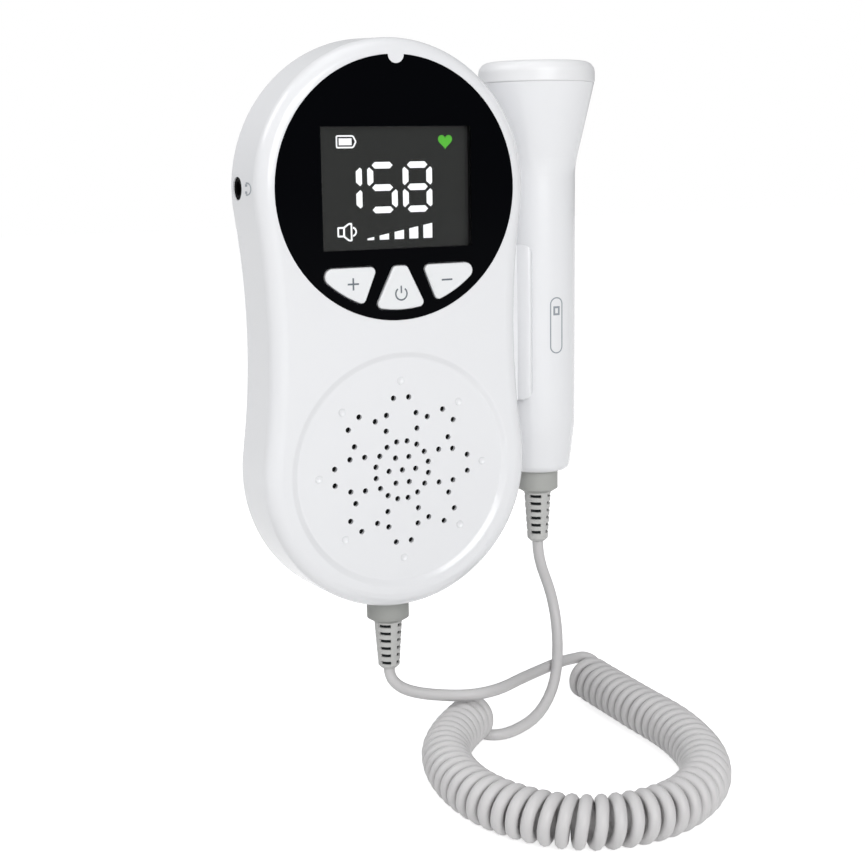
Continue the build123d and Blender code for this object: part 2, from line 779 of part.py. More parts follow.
def probe_holder():
    """Open clip on the side wall: a web and two jaws curved round the probe's grip."""
    axis_y = probe_depth - unit_depth
    inner = shaft_radius + holder_gap
    outer = inner + jaw_thickness
    half = radians(jaw_half_angle)
    reach = 2 * outer
    wedge = make_face(Polyline((0, 0), (-reach * cos(half), reach * sin(half)), (-reach, reach * sin(half)),
                               (-reach, -reach * sin(half)), (-reach * cos(half), -reach * sin(half)),
                               close=True))
    jaws = (Circle(outer) - Circle(inner)) & wedge
    jaws = fillet([v for v in jaws.vertices() if v.X > -outer * cos(half) - 1], jaw_tip_radius)
    web_near = web_front_depth - probe_depth
    web_far = web_back_depth - probe_depth
    web = Pos(-1.5 * inner, (web_near + web_far) / 2) * Rectangle(inner, web_far - web_near)
    plan = Pos(probe_x, axis_y) * (jaws + (web - Circle(inner + jaw_thickness / 2)))
    holder = extrude(Pos(0, 0, holder_bottom) * plan, holder_top - holder_bottom)
    tip_x = probe_x - inner * cos(half)
    height = holder_top - holder_bottom
    front = Pos(tip_x - lobe_radius, (holder_top + holder_bottom) / 2) * RectangleRounded(
        2 * lobe_radius, height, jaw_corner_radius)
    holder = holder & slab(front, 0, unit_depth)
    return holder - front_block() - rear_block()


# ---- Cord: points of its route, chosen along its run ----
unit_lead_points = (
    (0.0, -19.0, -130.9), (0.0, -19.0, -133.8), (1.6, -21.8, -136.2), (3.9, -25.6, -136.9),
    (7.6, -30.9, -136.7), (15.0, -37.0, -136.4), (24.7, -36.8, -136.5), (35.2, -30.7, -137.0),
    (45.3, -24.7, -138.0), (55.3, -19.2, -138.8), (62.3, -16.1, -139.9))
coil_points = (
    (64.8, -15.7, -145.0), (63.4, -42.3, -145.0), (63.2, -70.8, -145.0), (53.6, -95.1, -145.0),
    (33.6, -107.9, -145.0), (9.9, -105.1, -145.0), (-3.6, -86.1, -145.0), (-4.2, -62.6, -145.0),
    (5.2, -42.3, -145.0), (20.8, -30.6, -145.0))
probe_lead_points = (
    (49.6, -16.0, -101.8), (49.6, -16.0, -107.3), (54.2, -16.2, -118.5), (54.2, -19.8, -129.5),
    (48.4, -28.6, -140.5), (40.1, -33.2, -147.9), (30.1, -35.8, -150.0), (23.8, -35.7, -150.0),
    (21.4, -31.7, -150.0))


def cord_tube(name, points, radius):
    """Tube along straight runs joined by arcs as large as the runs beside them allow."""
    knots = [Vector(*point) for point in points]
    radii = []
    for before, at, after in zip(knots, knots[1:], knots[2:]):
        turn = radians((at - before).get_angle(after - at))
        shorter = min((at - before).length, (after - at).length)
        radii.append(arc_share * shorter / tan(turn / 2))
    path = FilletPolyline(*points, radius=radii)
    start = Plane(origin=path @ 0, z_dir=path % 0)
    tube = sweep(start * Circle(radius), path=path)
    print(name, "radii", [round(r, 1) for r in radii], "length", round(path.length, 1),
          "volume share", round(tube.volume / (pi * radius**2 * path.length), 4))
    return tube


parts = {
    "front_shell": front_shell(),
    "rear_shell": rear_shell(),
    "battery_cover": battery_cover(),
    "probe_holder": probe_holder(),
    "display_lens": display_lens(),
    "lcd_panel": lcd_panel(),
    "lcd_backlight": lcd_backlight(),
    "display_frame": display_frame(),
    "main_board": main_board(),
    "board_chips": board_chips(),
    "tact_switches": tact_switches(),
    "headphone_jack": headphone_jack(),
    "aa_cells": aa_cells(),
    "battery_contacts": battery_contacts(),
    "case_screws": case_screws(),
    "board_screws": board_screws(),
    "unit_strain_relief": unit_strain_relief(),
    "probe_handle": probe_handle(),
    "probe_cap": probe_cap(),
    "probe_board": probe_board(),
    "probe_strain_relief": probe_strain_relief(),
    "cord_unit_lead": cord_tube("unit lead", unit_lead_points, cord_radius),
    "cord_coil": cord_tube("coil", coil_points, coil_radius),
    "cord_probe_lead": cord_tube("probe lead", probe_lead_points, cord_radius),
}
parts.update(speaker())
parts["transducer_crystals"], parts["crystal_backing"] = crystal_stack()
for key_name in key_names:
    parts[key_name + "_key"] = key(key_name)
    parts[key_name + "_plunger"] = plunger(key_name)

os.makedirs("parts", exist_ok=True)
for node, solid in parts.items():
    export_step(solid, "parts/" + node + ".step")
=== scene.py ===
"""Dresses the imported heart-rate monitor: finishes, display marks, prints, curly cord and stage."""

import json
import math
from types import SimpleNamespace

import bmesh
import bpy
from bpy.props import FloatProperty, FloatVectorProperty, IntProperty, PointerProperty
from bpy.types import Operator, Panel, PropertyGroup
from mathutils import Matrix, Vector


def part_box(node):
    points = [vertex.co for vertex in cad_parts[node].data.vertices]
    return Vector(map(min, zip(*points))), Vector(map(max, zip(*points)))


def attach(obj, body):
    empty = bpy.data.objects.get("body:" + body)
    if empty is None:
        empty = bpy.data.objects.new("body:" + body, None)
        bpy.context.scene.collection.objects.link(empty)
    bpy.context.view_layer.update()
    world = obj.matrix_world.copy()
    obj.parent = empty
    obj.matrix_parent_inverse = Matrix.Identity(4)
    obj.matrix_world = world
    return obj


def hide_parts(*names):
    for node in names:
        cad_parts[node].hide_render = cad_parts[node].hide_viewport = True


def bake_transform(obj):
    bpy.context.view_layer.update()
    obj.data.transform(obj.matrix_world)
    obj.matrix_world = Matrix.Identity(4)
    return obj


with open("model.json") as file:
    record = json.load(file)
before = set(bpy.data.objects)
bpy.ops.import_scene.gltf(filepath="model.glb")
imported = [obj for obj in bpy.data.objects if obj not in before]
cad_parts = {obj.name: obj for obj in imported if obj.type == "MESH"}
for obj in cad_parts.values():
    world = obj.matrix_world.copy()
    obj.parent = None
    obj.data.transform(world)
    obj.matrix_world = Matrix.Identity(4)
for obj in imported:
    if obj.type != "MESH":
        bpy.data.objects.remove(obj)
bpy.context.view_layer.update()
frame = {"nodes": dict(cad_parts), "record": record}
NODES = frame["nodes"]

bl_info = {
    "name": "Heart-Rate Monitor Dressing",
    "version": (1, 0, 0),
    "blender": (4, 5, 0),
    "location": "View3D > Sidebar > Monitor",
    "description": "Finishes, marks, prints, curly cord and stage of a handheld heart-rate monitor",
    "category": "Object",
}

# The face looks along -Y, the probe stands on the +X side and +Z is up. Bare lengths are millimetres, and MM turns
# them into metres.
MM = 0.001
FACE_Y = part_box("display_lens")[0].y
KEY_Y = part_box("power_key")[0].y
FLOOR_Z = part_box("cord_coil")[0].z
PROBE_LOW, PROBE_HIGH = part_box("probe_handle")
PROBE_X = (PROBE_LOW.x + PROBE_HIGH.x) / 2
PROBE_Y = (PROBE_LOW.y + PROBE_HIGH.y) / 2

# Height where each relief turns from its collar, darker as painted shade, to its lighter boot, and the boot's
# length.
UNIT_BOOT_TOP, UNIT_BOOT_LENGTH = -117.4 * MM, 13.5
PROBE_BOOT_TOP, PROBE_BOOT_LENGTH = -87.2 * MM, 14.5

# Height of the dish's middle, radius of the ring of dimples, and the floors (y) of the dish and the dimples.
DISH_RISE, DIMPLE_RING = -73.2, 23.8
DISH_FLOOR, DIMPLE_FLOOR = -30.2, -29.76

# Where the side wall is widest, behind the face, the wall's draft, and the radius of the probe's shaft.
WIDEST_DEPTH = 17.6
WALL_DRAFT = math.radians(3.0)
SHAFT_RADIUS = 10.6

# Marks of the display, from the middle of the lens, as (x, z) or (low x, low z, high x, high z).
DIGITS = (("1", -13.4), ("5", -3.5), ("8", 6.4))
DIGITS_RISE = 0.42
SIGN_STROKE = 0.45
BATTERY_OUTLINE = ((-16.1, 10.35), (-11.3, 10.35), (-10.4, 11.95), (-11.3, 13.58), (-16.1, 13.58))
BATTERY_STROKE = 0.40
BATTERY_CHARGE = (-15.3, 11.1, -11.8, 12.8)
SPEAKER_BOX = (-16.3, -11.75, -14.25, -9.15)
SPEAKER_HORN = ((-14.7, -9.25), (-13.2, -8.2), (-12.2, -8.2), (-12.2, -12.85), (-13.2, -12.85), (-14.7, -11.7))
SOUND_WAVE, SOUND_RADIUS = (-12.2, -10.45), 1.05
VOLUME_BARS = ((-8.05, -6.16), (-4.63, -1.98), (-0.39, 2.28), (3.81, 6.37), (7.85, 10.44))
VOLUME_FOOT, VOLUME_TOP, VOLUME_SLOPE = -12.75, -12.3, 0.183
HEART_X, HEART_Z, HEART_SCALE = 14.53, 11.9, 0.127

# Signs of the keys, from the middle of the lens.
PLUS_X, PLUS_Z = -13.4, -23.5
MINUS_X, MINUS_Z = 13.25, -23.6
SIGN_HALF_STROKE, SIGN_REACH = 0.22, 1.55
POWER_Z, POWER_RADIUS, POWER_STROKE = -26.6, 1.6, 0.4
POWER_BAR_LOW, POWER_BAR_HIGH = 0.15, 2.05

# Route of the cord: the unit's lead, the middle line of the coil, the probe's lead.
UNIT_LEAD = (
    (0.0, -19.0, -130.9), (0.0, -19.0, -133.8), (1.6, -21.8, -136.2), (3.9, -25.6, -136.9),
    (7.6, -30.9, -136.7), (15.0, -37.0, -136.4), (24.7, -36.8, -136.5), (35.2, -30.7, -137.0),
    (45.3, -24.7, -138.0), (55.3, -19.2, -138.8), (62.3, -16.1, -139.9))
COIL_LINE = (
    (64.8, -15.7, -145.0), (63.4, -42.3, -145.0), (63.2, -70.8, -145.0), (53.6, -95.1, -145.0),
    (33.6, -107.9, -145.0), (9.9, -105.1, -145.0), (-3.6, -86.1, -145.0), (-4.2, -62.6, -145.0),
    (5.2, -42.3, -145.0), (20.8, -30.6, -145.0))
PROBE_LEAD = (
    (49.6, -16.0, -101.8), (49.6, -16.0, -107.3), (54.2, -16.2, -118.5), (54.2, -19.8, -129.5),
    (48.4, -28.6, -140.5), (40.1, -33.2, -147.9), (30.1, -35.8, -150.0), (23.8, -35.7, -150.0),
    (21.4, -31.7, -150.0))


def colour(label, hint, value):
    """Colour setting in linear light."""
    return FloatVectorProperty(name=label, description=hint, default=value, size=3, min=0.0, max=1.0,
                               subtype="COLOR")


def length(label, hint, value):
    """Length setting, given here in millimetres and kept in metres."""
    return FloatProperty(name=label, description=hint, default=value * MM, min=0.0, precision=5,
                         subtype="DISTANCE", unit="LENGTH")


class MonitorColours(PropertyGroup):
    """Colours of the mouldings, prints and cord."""
    housing: colour("Housing", "Gloss shell of the unit, holder and probe", (0.83, 0.835, 0.85))
    cap: colour("Probe cap", "Sensor cap of the probe", (0.83, 0.832, 0.842))
    key: colour("Keys", "Silicone-coated key caps", (0.84, 0.85, 0.86))
    lens: colour("Lens", "Back-printed black lens", (0.0008, 0.0010, 0.0017))
    window: colour("Display", "Unlit display behind the lens", (0.022, 0.0228, 0.022))
    lit: colour("Lit segments", "Digits and symbols of the display", (0.95, 0.96, 0.97))
    heart: colour("Heart", "Pulse symbol of the display", (0.085, 0.46, 0.03))
    print_grey: colour("Key print", "Symbols printed on the keys", (0.13, 0.15, 0.17))
    mark_grey: colour("Housing print", "Marks printed on the housing and probe", (0.30, 0.33, 0.36))
    relief: colour("Boots", "Soft grey slotted boots", (0.56, 0.56, 0.545))
    # Both collar tints are painted shade under the unit and the probe, the unit's the deeper one.
    unit_collar_shade: colour("Unit collar", "Darker collar above the unit's boot", (0.345, 0.35, 0.333))
    probe_collar_shade: colour("Probe collar", "Darker collar above the probe's boot", (0.42, 0.425, 0.405))
    cord: colour("Cord", "Curly cord's jacket", (0.62, 0.61, 0.61))


class MonitorSizes(PropertyGroup):
    """Sizes of the marks, the clip, the dimples and the cord."""
    window_width: length("Display width", "Width of the lit part of the display", 40.2)
    window_height: length("Display height", "Height of the lit part of the display", 30.3)
    opening_margin: length("Lens opening", "How far the lens's clear window reaches past the lit part", 0.9)
    window_thickness: length("Window thickness", "Clear pane in the lens", 0.5)
    window_rise: length("Display rise", "How far the display's middle is above the lens's middle", 0.3)
    print_lift: length("Print thickness", "How far a print stands on its surface", 0.03)
    digit_pitch: length("Digit width", "Between the middle lines of a digit's uprights", 6.75)
    digit_row: length("Digit row", "Between two bars of a digit", 5.6)
    segment: length("Segment", "Width of a lit segment", 1.66)
    clip_corner: length("Clip corner", "Radius of the free corners of the probe's clip", 3.8)
    clip_edge: length("Clip edge", "Radius of the end edges of the probe's clip", 0.35)
    dimple: length("Dimple", "Radius of the round dimples of the dish", 1.04)
    dimple_hollow: length("Dimple hollow", "Depth of the bowl in each dimple", 0.40)
    # The dark sleeves inside the boots are painted shade, seen through the boots' slots.
    shade_sleeve_top: length("Shade sleeve top", "Radius of the dark sleeve at the top of a boot", 3.2)
    shade_sleeve_end: length("Shade sleeve end", "Radius of the dark sleeve near the foot of a boot", 2.5)
    shade_sleeve_floor: length("Shade sleeve floor", "From a boot's foot up to its dark sleeve", 1.0)
    wire: length("Wire diameter", "Jacket of the cord", 3.2)
    coil: length("Coil diameter", "Over the turns of the curly part", 13.0)
    crowding: FloatProperty(name="Turn crowding", default=0.05, min=0.0, max=0.5, subtype="FACTOR",
                            description="How much closer the turns lie at the coil's ends")
    loose_end: FloatProperty(name="Loose end", default=0.55, min=0.0, max=0.8, subtype="FACTOR",
                             description="How much the first turns stand apart")
    turns: IntProperty(name="Coil turns", default=58, min=10, description="Whole turns of the curly part")


def chosen_sizes(context):
    """The size settings as plain values, with every length in millimetres."""
    settings = context.scene.monitor_sizes
    values = {}
    for name in MonitorSizes.__annotations__:
        value = getattr(settings, name)
        is_length = settings.bl_rna.properties[name].unit == "LENGTH"
        values[name] = round(value / MM, 4) if is_length else value
    return SimpleNamespace(**values)


# ---- Drawing flat shapes and turning them into pieces ----

def new_piece(name, bm, material, body, crease=0.0):
    """Mesh object in place, riding on one body.

    It is flat shaded at a crease of 0. Otherwise only edges sharper than the crease, in degrees, stay sharp.
    """
    bmesh.ops.recalc_face_normals(bm, faces=bm.faces)
    for face in bm.faces:
        face.smooth = crease > 0.0
    for edge in bm.edges:
        edge.smooth = edge.calc_face_angle(math.pi) < math.radians(crease)
    mesh = bpy.data.meshes.new(name)
    bm.to_mesh(mesh)
    bm.free()
    mesh.materials.append(material)
    piece = bpy.data.objects.new(name, mesh)
    bpy.context.scene.collection.objects.link(piece)
    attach(piece, body)
    return piece


def cut(bm, place, normal):
    """Cuts all faces along a plane and keeps both sides."""
    bmesh.ops.bisect_plane(bm, geom=bm.verts[:] + bm.edges[:] + bm.faces[:], dist=1e-7, plane_co=place,
                           plane_no=normal)


def node_mesh(name):
    """Editable copy of a carried-over part's mesh with its split corners joined."""
    bm = bmesh.new()
    bm.from_mesh(NODES[name].data)
    bmesh.ops.remove_doubles(bm, verts=bm.verts, dist=1e-6)
    return bm


def patch(bm, points):
    """Flat face through corner points (x, z) in millimetres, in the plane y = 0."""
    corners = [bm.verts.new((x * MM, 0.0, z * MM)) for x, z in points]
    return bm.faces.new(corners)


def rounded_patch(bm, points, radius, steps=5):
    """Flat face whose corners are rounded; returns the new face."""
    known = set(bm.faces)
    face = patch(bm, points)
    bmesh.ops.bevel(bm, geom=list(face.verts), offset=radius * MM, offset_type="OFFSET", segments=steps,
                    profile=0.5, affect="VERTICES", material=-1)
    return next(face for face in bm.faces if face not in known)


def box_points(low_x, low_z, high_x, high_z):
    """Corners of an upright rectangle."""
    return ((low_x, low_z), (high_x, low_z), (high_x, high_z), (low_x, high_z))


def hollow(bm, face, width):
    """Leaves only a band of the given width inside a face's outline."""
    face.normal_update()
    bmesh.ops.inset_individual(bm, faces=[face], thickness=width * MM, use_even_offset=True)
    bmesh.ops.delete(bm, geom=[face], context="FACES_KEEP_BOUNDARY")


def arc_band(bm, centre, radius, width, start, sweep, steps=20):
    """Band that follows an arc; angles in degrees from +X towards +Z."""
    x, z = centre
    ends = []
    for reach in (radius - width / 2, radius + width / 2):
        ends.append(bm.verts.new(((x + reach * math.cos(math.radians(start))) * MM, 0.0,
                                  (z + reach * math.sin(math.radians(start))) * MM)))
    edge = bm.edges.new(ends)
    bmesh.ops.spin(bm, geom=ends + [edge], cent=(x * MM, 0.0, z * MM), axis=(0.0, -1.0, 0.0),
                   angle=math.radians(sweep), steps=steps, use_merge=abs(sweep) >= 360)


def thicken(bm, lift, surface_y):
    """Gives flat shapes their thickness and lays them on a surface that faces -Y."""
    bmesh.ops.remove_doubles(bm, verts=bm.verts, dist=1e-7)
    grown = bmesh.ops.extrude_face_region(bm, geom=list(bm.faces), use_keep_orig=True)
    top = [item for item in grown["geom"] if isinstance(item, bmesh.types.BMVert)]
    bmesh.ops.translate(bm, verts=top, vec=(0.0, -lift * MM, 0.0))
    bmesh.ops.translate(bm, verts=bm.verts, vec=(0.0, surface_y, 0.0))


def segment_bar(bm, x, z, sizes):
    """Level segment of a digit, pointed at both ends."""
    end_gap = 0.45
    reach = sizes.digit_pitch / 2 - end_gap
    half = sizes.segment / 2
    patch(bm, ((x - reach, z), (x - reach + half, z - half), (x + reach - half, z - half), (x + reach, z),
               (x + reach - half, z + half), (x - reach + half, z + half)))


def segment_upright(bm, x, z, outer, sizes):
    """Upright segment of a digit, its points nearer its outer side; outer is 1 or -1."""
    end_gap, outer_slope, inner_slope, point = 0.48, 0.5, 0.95, 0.35
    reach = sizes.digit_row / 2 - end_gap
    half = sizes.segment / 2 * outer
    patch(bm, ((x + half, z - reach + outer_slope), (x + half, z + reach - outer_slope),
               (x + half * point, z + reach), (x - half, z + reach - inner_slope),
               (x - half, z - reach + inner_slope), (x + half * point, z - reach)))


DIGIT_SEGMENTS = {"1": "bc", "5": "afgcd", "8": "abcdefg"}


def digit(bm, sign, x, z, sizes):
    """Seven-segment digit about its middle."""
    half = sizes.digit_pitch / 2
    row = sizes.digit_row
    bars = {"a": row, "g": 0.0, "d": -row}
    uprights = {"b": (1, row / 2), "c": (1, -row / 2), "e": (-1, -row / 2), "f": (-1, row / 2)}
    for part in DIGIT_SEGMENTS[sign]:
        if part in bars:
            segment_bar(bm, x, z + bars[part], sizes)
        else:
            side, rise = uprights[part]
            segment_upright(bm, x + side * half, z + rise, side, sizes)


# ---- Materials ----

GRAIN_HEIGHT = 0.2 * MM


def socket(group, label, kind, direction, value=None):
    """Named socket on a node group."""
    made = group.interface.new_socket(name=label, in_out=direction, socket_type=kind)
    if value is not None:
        made.default_value = value


def math_node(tree, operation, *values):
    """Math node; each value is a number or the output that feeds it."""
    node = tree.nodes.new("ShaderNodeMath")
    node.operation = operation
    for place, value in enumerate(values):
        if isinstance(value, bpy.types.NodeSocket):
            tree.links.new(value, node.inputs[place])
        else:
            node.inputs[place].default_value = value
    return node.outputs[0]


def noise(tree, vector, detail, scale=None):
    """Noise texture over the given coordinates."""
    texture = tree.nodes.new("ShaderNodeTexNoise")
    texture.inputs["Detail"].default_value = detail
    if scale is not None:
        texture.inputs["Scale"].default_value = scale
    tree.links.new(vector, texture.inputs["Vector"])
    return texture


def moulded_surface():
    """Group: slow tone drift, fine roughness change and a faint orange-peel height."""
    known = bpy.data.node_groups.get("Moulded Surface")
    if known:
        return known
    group = bpy.data.node_groups.new("Moulded Surface", "ShaderNodeTree")
    socket(group, "Vector", "NodeSocketVector", "INPUT")
    socket(group, "Colour", "NodeSocketColor", "INPUT", (0.8, 0.8, 0.8, 1.0))
    socket(group, "Tone Drift", "NodeSocketFloat", "INPUT", 0.03)
    socket(group, "Roughness", "NodeSocketFloat", "INPUT", 0.3)
    socket(group, "Roughness Spread", "NodeSocketFloat", "INPUT", 0.05)
    socket(group, "Grain Scale", "NodeSocketFloat", "INPUT", 900.0)
    socket(group, "Colour", "NodeSocketColor", "OUTPUT")
    socket(group, "Roughness", "NodeSocketFloat", "OUTPUT")
    socket(group, "Height", "NodeSocketFloat", "OUTPUT")
    nodes, links = group.nodes, group.links
    given = nodes.new("NodeGroupInput").outputs
    out = nodes.new("NodeGroupOutput")
    slow = noise(group, given["Vector"], detail=3.0, scale=38.0)
    fine = noise(group, given["Vector"], detail=2.0)
    smear = noise(group, given["Vector"], detail=4.0, scale=140.0)
    links.new(given["Grain Scale"], fine.inputs["Scale"])
    drift = math_node(group, "MULTIPLY", slow.outputs["Fac"], given["Tone Drift"])
    tint = nodes.new("ShaderNodeVectorMath")
    tint.operation = "SCALE"
    links.new(given["Colour"], tint.inputs[0])
    links.new(math_node(group, "SUBTRACT", 1.0, drift), tint.inputs["Scale"])
    links.new(tint.outputs[0], out.inputs["Colour"])
    rough = math_node(group, "MULTIPLY_ADD", smear.outputs["Fac"], given["Roughness Spread"], given["Roughness"])
    links.new(rough, out.inputs["Roughness"])
    links.new(fine.outputs["Fac"], out.inputs["Height"])
    return group


def moulded_material(name, tint, roughness, drift=0.008, spread=0.02, bump=0.02, coat=0.0, coat_roughness=0.1,
                     metallic=0.0, specular=0.5, glow=0.0, alpha=1.0, above=None):
    """Moulded, painted or rubber finish from the shared surface group.

    The tint changes at a height when above is given, as that height in metres and the tint over it; the reliefs'
    collars use it for painted shade.
    """
    known = bpy.data.materials.get(name)
    if known:
        return known
    material = bpy.data.materials.new(name)
    material.use_nodes = True
    nodes, links = material.node_tree.nodes, material.node_tree.links
    shader = nodes["Principled BSDF"]
    place = nodes.new("ShaderNodeTexCoord")
    surface = nodes.new("ShaderNodeGroup")
    surface.node_tree = moulded_surface()
    surface.inputs["Colour"].default_value = (*tint, 1.0)
    surface.inputs["Tone Drift"].default_value = drift
    surface.inputs["Roughness"].default_value = roughness
    surface.inputs["Roughness Spread"].default_value = spread
    links.new(place.outputs["Object"], surface.inputs["Vector"])
    # The tint over the height is the collars' painted shade.
    if above:
        height, upper_tint = above
        parts = nodes.new("ShaderNodeSeparateXYZ")
        links.new(place.outputs["Object"], parts.inputs[0])
        over = math_node(material.node_tree, "GREATER_THAN", parts.outputs["Z"], height)
        tones = nodes.new("ShaderNodeMix")
        tones.data_type = "RGBA"
        factor, lower, upper = tones.inputs[0], tones.inputs[6], tones.inputs[7]
        lower.default_value = (*tint, 1.0)
        upper.default_value = (*upper_tint, 1.0)
        links.new(over, factor)
        links.new(tones.outputs[2], surface.inputs["Colour"])
    links.new(surface.outputs["Colour"], shader.inputs["Base Color"])
    links.new(surface.outputs["Roughness"], shader.inputs["Roughness"])
    if bump > 0.0:
        relief = nodes.new("ShaderNodeBump")
        relief.inputs["Strength"].default_value = bump
        relief.inputs["Distance"].default_value = GRAIN_HEIGHT
        links.new(surface.outputs["Height"], relief.inputs["Height"])
        links.new(relief.outputs["Normal"], shader.inputs["Normal"])
    shader.inputs["Coat Weight"].default_value = coat
    shader.inputs["Coat Roughness"].default_value = coat_roughness
    shader.inputs["Metallic"].default_value = metallic
    shader.inputs["Specular IOR Level"].default_value = specular
    shader.inputs["Alpha"].default_value = alpha
    if glow > 0.0:
        shader.inputs["Emission Color"].default_value = (*tint, 1.0)
        shader.inputs["Emission Strength"].default_value = glow
    return material


def part_materials(colours):
    """Finish of each material slot of the record."""
    return {
        "housing": moulded_material("gloss_housing", colours.housing, 0.24, coat=0.25, coat_roughness=0.08),
        "cap": moulded_material("gloss_cap", colours.cap, 0.38, coat=0.12, coat_roughness=0.12),
        "lens": moulded_material("black_lens", colours.lens, 0.12, drift=0.0, spread=0.03, bump=0.0,
                                 specular=0.03),
        "key": moulded_material("satin_key", colours.key, 0.36, bump=0.03),
        "relief": moulded_material("soft_relief", colours.relief, 0.58, drift=0.03, bump=0.05),
        "cord": moulded_material("cord_jacket", colours.cord, 0.42, drift=0.03, bump=0.04),
        "display_glass": moulded_material("cell_glass", (0.03, 0.03, 0.03), 0.12),
        "light_guide": moulded_material("milky_guide", (0.75, 0.77, 0.80), 0.35),
        "inner_black": moulded_material("black_inner", (0.004, 0.004, 0.004), 0.6, specular=0.02),
        "board": moulded_material("green_board", (0.02, 0.12, 0.05), 0.30, drift=0.2),
        "steel": moulded_material("plated_steel", (0.60, 0.60, 0.60), 0.30, metallic=1.0),
        "gasket": moulded_material("foam_gasket", (0.006, 0.006, 0.006), 0.85, bump=0.3, specular=0.1),
        "cone": moulded_material("paper_cone", (0.035, 0.035, 0.035), 0.80, bump=0.3),
        "cell": moulded_material("cell_sleeve", (0.30, 0.26, 0.18), 0.30, coat=0.3),
        "crystal": moulded_material("silvered_crystal", (0.70, 0.68, 0.60), 0.25, metallic=0.6),
        "resin": moulded_material("cast_resin", (0.12, 0.08, 0.05), 0.40, drift=0.2),
    }


# ---- Operators ----

class MONITOR_OT_finishes(Operator):
    """Give every carried-over part the finish of its material slot"""
    bl_idname = "monitor.finishes"
    bl_label = "Finish Parts"

    def execute(self, context):
        colours = context.scene.monitor_colours
        finishes = part_materials(colours)
        # Each collar above its boot gets a darker tint as painted shade from the unit or probe over it.
        boots = {"unit_strain_relief": (UNIT_BOOT_TOP, colours.unit_collar_shade),
                 "probe_strain_relief": (PROBE_BOOT_TOP, colours.probe_collar_shade)}
        for entry in frame["record"]["subparts"]:
            node = NODES[entry["node"]]
            finish = finishes[entry["material_slot"]]
            if entry["node"] in boots:
                finish = moulded_material("soft_" + entry["node"], colours.relief, 0.58, bump=0.05,
                                          above=boots[entry["node"]])
            for place in node.material_slots:
                place.material = finish
        return {"FINISHED"}


class MONITOR_OT_lens(Operator):
    """Open the black lens over the display and close the opening with a clear pane"""
    bl_idname = "monitor.lens"
    bl_label = "Lens"

    def execute(self, context):
        sizes = chosen_sizes(context)
        black = part_materials(context.scene.monitor_colours)["lens"]
        half_x = (sizes.window_width / 2 + sizes.opening_margin) * MM
        half_z = (sizes.window_height / 2 + sizes.opening_margin / 4) * MM
        rise = sizes.window_rise * MM
        mask = node_mesh("display_lens")
        for x in (half_x, -half_x):
            cut(mask, (x, 0.0, 0.0), (1.0, 0.0, 0.0))
        for z in (rise + half_z, rise - half_z):
            cut(mask, (0.0, 0.0, z), (0.0, 0.0, 1.0))
        centres = {face: face.calc_center_median() for face in mask.faces}
        gone = [face for face, at in centres.items() if abs(at.x) < half_x and abs(at.z - rise) < half_z]
        bmesh.ops.delete(mask, geom=gone, context="FACES")
        rims = [edge for edge in mask.edges if edge.is_boundary]
        bmesh.ops.bridge_loops(mask, edges=rims)
        lens = new_piece("lens_mask", mask, black, "unit", crease=30.0)
        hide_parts("display_lens")

        clear = moulded_material("clear_window", (0.02, 0.02, 0.02), 0.05, drift=0.0, bump=0.0, specular=0.3,
                                 alpha=0.06)
        pane = bmesh.new()
        patch(pane, [(x / MM, z / MM) for x, z in box_points(-half_x, rise - half_z, half_x, rise + half_z)])
        thicken(pane, sizes.window_thickness, FACE_Y + sizes.window_thickness * MM)
        new_piece("lens_window", pane, clear, "unit")
        return {"FINISHED"}


class MONITOR_OT_holder(Operator):
    """Round the free corners and end edges of the probe's clip"""
    bl_idname = "monitor.holder"
    bl_label = "Clip"

    def execute(self, context):
        sizes = chosen_sizes(context)
        radius = sizes.clip_corner * MM
        low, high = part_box("probe_holder")
        clip = node_mesh("probe_holder")
        bmesh.ops.dissolve_limit(clip, angle_limit=math.radians(1.0), verts=clip.verts, edges=clip.edges)
        start = high.x - radius
        for angle in range(0, 85, 12):
            cut(clip, (start + radius * math.sin(math.radians(angle)), 0.0, 0.0), (1.0, 0.0, 0.0))
        middle = (low.z + high.z) / 2
        for vert in clip.verts:
            past = min(max(vert.co.x - start, 0.0), radius)
            room = (high.z - low.z) / 2 - radius + math.sqrt(radius ** 2 - past ** 2)
            vert.co.z = middle + min(max(vert.co.z - middle, -room), room)
        ends = [edge for edge in clip.edges if len(edge.link_faces) == 2
                and edge.calc_face_angle() > math.radians(50)
                and any(abs(face.normal.z) > 0.5 for face in edge.link_faces)]
        bmesh.ops.bevel(clip, geom=ends, offset=sizes.clip_edge * MM, offset_type="OFFSET", segments=3,
                        profile=0.5, affect="EDGES", clamp_overlap=True, material=-1)
        finish = part_materials(context.scene.monitor_colours)["housing"]
        piece = new_piece("clip_rounded", clip, finish, "unit", crease=35.0)
        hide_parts("probe_holder")
        return {"FINISHED"}


